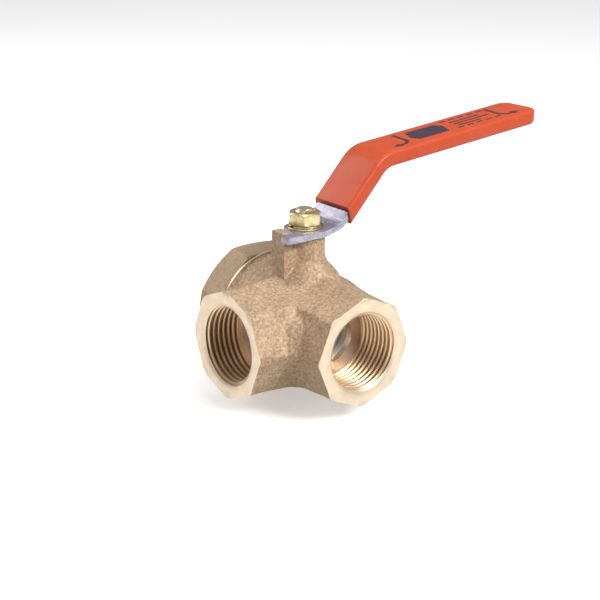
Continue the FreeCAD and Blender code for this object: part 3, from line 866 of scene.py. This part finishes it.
def split_washer():
    """The spring washer: a square coil of almost one turn with offset ends."""
    clear_selection()
    bpy.ops.mesh.primitive_plane_add(size=1)
    washer = keep("split_washer")
    washer.scale = (2.2 * MM, 0.72 * MM, 1)
    washer.rotation_euler = (math.radians(90), 0, 0)
    washer.location = Vector((5.25, 0, 42.68)) * MM
    bpy.ops.object.transform_apply(location=True, rotation=True, scale=True)
    modify(
        washer, "SCREW", angle=math.radians(344), screw_offset=0.24 * MM, steps=72,
        render_steps=72,
    )
    bpy.ops.object.mode_set(mode="EDIT")
    bpy.ops.mesh.select_all(action="SELECT")
    bpy.ops.mesh.remove_doubles(threshold=1e-6)
    bpy.ops.mesh.fill_holes(sides=4)
    bpy.ops.mesh.select_all(action="SELECT")
    bpy.ops.mesh.normals_make_consistent(inside=False)
    bpy.ops.object.mode_set(mode="OBJECT")
    settle(washer, (0, 0, -82))
    modify(
        washer, "BEVEL", width=0.14 * MM, segments=2, limit_method="ANGLE",
        angle_limit=math.radians(40),
    )
    return paint(smooth(washer, 40), YELLOW)


def plain_washer():
    """The flat washer, with its punched edge rounded on one side."""
    washer = turned("plain_washer", (
        (41.5, 7.0), (41.75, 7.1), (42.05, 7.1), (42.22, 6.95), (42.28, 6.7),
    ), 96)
    combine(washer, turned("washer_hole", ((40, 4.15), (44, 4.15)), 64), "DIFFERENCE")
    return paint(smooth(washer, 40), YELLOW)


def stem():
    """The stem: tongue, thrust flange, shank and the threaded, flatted top."""
    stations = [(17.3, 6.4), (19.7, 6.4), (19.9, 6.2), (19.9, 4.05), (39.0, 4.05), (39.0, 3.7)]
    pitch = 1.25
    height = 40.0
    while height < 48.6:
        stations += [(height, 3.35), (height + pitch * 0.35, 3.98), (height + pitch * 0.55, 3.98)]
        height += pitch
    stations += [(height, 3.4), (49.35, 3.0)]
    post = turned("valve_stem", stations, 64)
    flats = joined([
        block("flat_band", (-3.0, -6, 39.0), (3.0, 6, 52)),
        block("shank_band", (-9, -9, 10), (9, 9, 39.0)),
    ], "flats")
    combine(post, flats, "INTERSECT")
    combine(post, block("tongue", (-5.6, -2.25, 13.2), (5.6, 2.25, 17.6)), "UNION")
    return paint(smooth(post, 30), STEM_BRASS)


def lever_group():
    """The lever with everything that turns with it."""
    plate = lever_plate()
    sleeve = vinyl_sleeve(plate)
    group = (
        (plate, "lever", "zinc_plated_steel"),
        (sleeve, "vinyl_sleeve", "orange_vinyl"),
        (plain_washer(), "flat_washer", "yellow_plated_steel"),
        (split_washer(), "spring_washer", "yellow_plated_steel"),
        (hex_nut(), "lever_nut", "yellow_plated_steel"),
        (stem(), "stem", "brass_stem"),
    )
    for piece, node, slot in group:
        to_frame(piece)
        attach(piece, "lever_and_stem")
        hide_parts(node)


# ---- carried over pieces ----------------------------------------------------------------

CARRIED = (
    (CHROME, ("ball",)),
    (SEAL, ("ball_seat_run_side", "ball_seat_cap_side", "cap_gasket", "stem_thrust_washer",
            "packing_ring_lower", "packing_ring_middle", "packing_ring_upper")),
    (STEM_BRASS, ("gland_bush", "gland_nut")),
    (PRINT, ("grip_mark_near_arrow", "grip_mark_far_arrow", "grip_mark_panel",
             "grip_mark_dashes")),
)


def finish_carried():
    """Gives every carried over piece its finish."""
    for finish, nodes in CARRIED:
        for name in nodes:
            paint(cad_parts[name], finish)


# ---- room, light and camera -------------------------------------------------------------

def studio():
    """A pale floor, with soft light from the right, above, the front and the left."""
    clear_selection()
    floor_height = SIZE_BEFORE[0].z - 0.0005
    bpy.ops.mesh.primitive_plane_add(size=12, location=(0, 0, floor_height))
    floor = keep("studio_floor")
    paint(floor, studio_floor())
    # the floor glows by itself, and isn't to light the underside of the metal with that
    floor.visible_diffuse = False
    world = bpy.data.worlds.new("studio")
    bpy.context.scene.world = world
    bpy.context.scene.view_settings.view_transform = "Standard"
    world.use_nodes = True
    world.node_tree.nodes["Background"].inputs[0].default_value = (1, 1, 1, 1)
    world.node_tree.nodes["Background"].inputs[1].default_value = 0.30
    lamps = (
        ("key", (0.85, 0.25, 0.65), 0.35, 10.5),
        ("overhead", (0.0, 0.2, 1.5), 1.0, 7.5),
        ("front_fill", (0.1, -0.95, 0.6), 0.5, 2.2),
        ("left_rim", (-0.75, -0.25, 0.6), 0.4, 2.2),
    )
    for name, place, size, power in lamps:
        bpy.ops.object.light_add(type="AREA", location=place)
        lamp = bpy.context.object
        lamp.name = name
        lamp.data.size = size
        lamp.data.energy = power
        aim = CENTRE + Vector((0, 0, 0.015)) - lamp.location
        lamp.rotation_euler = aim.to_track_quat("-Z", "Y").to_euler()


AZIMUTH = math.radians(52.0)
ELEVATION = math.radians(19.15)
ROLL = math.radians(0.63)
DISTANCE = 540.0
SHIFT_LEFT = 1.338
SHIFT_UP = 10.34
LENS = 79.9
SENSOR_WIDTH = 36


def camera():
    """The camera: a long lens, looking down a little on the two open ports."""
    back = Vector((
        math.sin(AZIMUTH) * math.cos(ELEVATION),
        -math.cos(AZIMUTH) * math.cos(ELEVATION),
        math.sin(ELEVATION),
    ))
    level = Vector((math.cos(AZIMUTH), math.sin(AZIMUTH), 0))
    rise = back.cross(level)
    right = level * math.cos(ROLL) + rise * math.sin(ROLL)
    up = rise * math.cos(ROLL) - level * math.sin(ROLL)
    place = CENTRE + (back * DISTANCE - right * SHIFT_LEFT + up * SHIFT_UP) * MM
    clear_selection()
    bpy.ops.object.camera_add(location=place)
    cam = bpy.context.object
    cam.rotation_euler = Matrix((right, up, back)).transposed().to_euler()
    cam.data.lens = LENS
    cam.data.sensor_width = SENSOR_WIDTH
    cam.data.clip_start = 0.01
    bpy.context.scene.camera = cam


cast_body()
end_cap()
lever_group()
finish_carried()
studio()
camera()
clear_selection()
